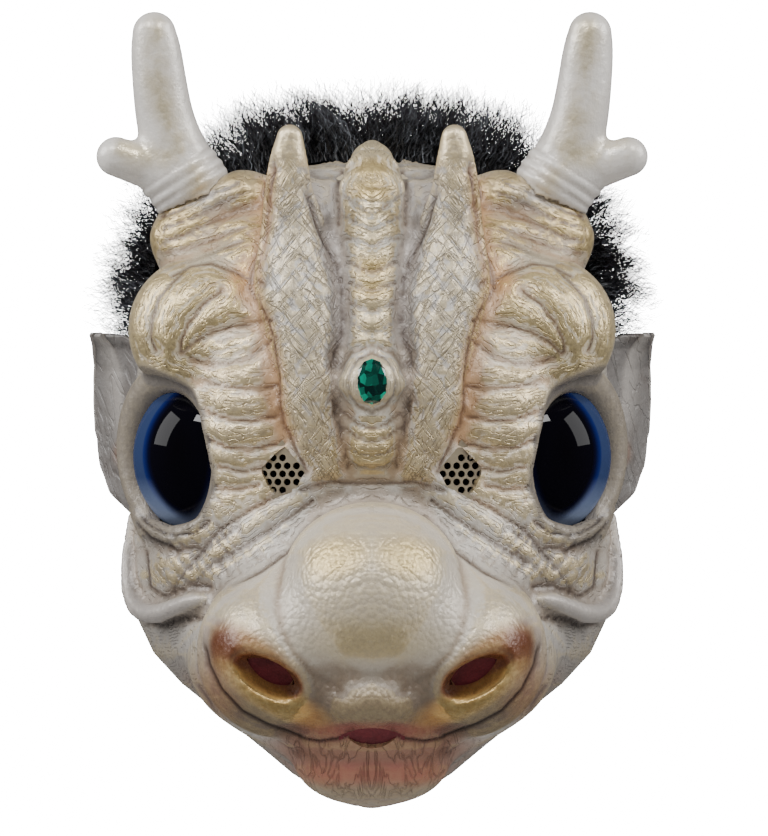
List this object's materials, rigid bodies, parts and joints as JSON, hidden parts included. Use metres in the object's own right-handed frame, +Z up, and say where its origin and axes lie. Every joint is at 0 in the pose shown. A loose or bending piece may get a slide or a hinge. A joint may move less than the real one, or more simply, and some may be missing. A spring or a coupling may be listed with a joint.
{
  "type": "dragon mask",
  "caption": "Full-head dragon mask with a hollow latex face, forked antlers, cupped ears, domed eyes, a faceted brow stone and a furred cloth hood.",
  "frame": {"origin": "inside of the crown, on the hood's inner side, where the mask sits on the wearer's head", "axes": "+Z up, -Y to the front of the face, +X to the wearer's left"},
  "size_m": [0.25, 0.2987, 0.3361],
  "materials": {
    "latex": "pearly cream and gold paint over creased latex, ochre in the hollows",
    "antler": "smooth pale grey latex with a pearly sheen",
    "ear": "thin grey latex, lightly creased",
    "eye": "clear gloss over a black pupil and a blue ring",
    "stone": "polished, faceted, green",
    "vent": "painted perforated plate",
    "dark_red_cloth": "matt, tightly woven",
    "hood_cloth": "matt black knit",
    "fur": "curly black synthetic fur with a soft sparkle"
  },
  "bodies": {
    "root": {"face_skin": "latex", "antler_left": "antler", "antler_right": "antler", "ear_left": "ear", "ear_right": "ear", "eye_left": "eye", "eye_right": "eye", "brow_gem": "stone", "vent_left": "vent", "vent_right": "vent", "nostril_cloth_left": "dark_red_cloth", "nostril_cloth_right": "dark_red_cloth", "mouth_cloth": "dark_red_cloth", "hood": "hood_cloth", "fur": "fur"}
  },
  "joints": []
}
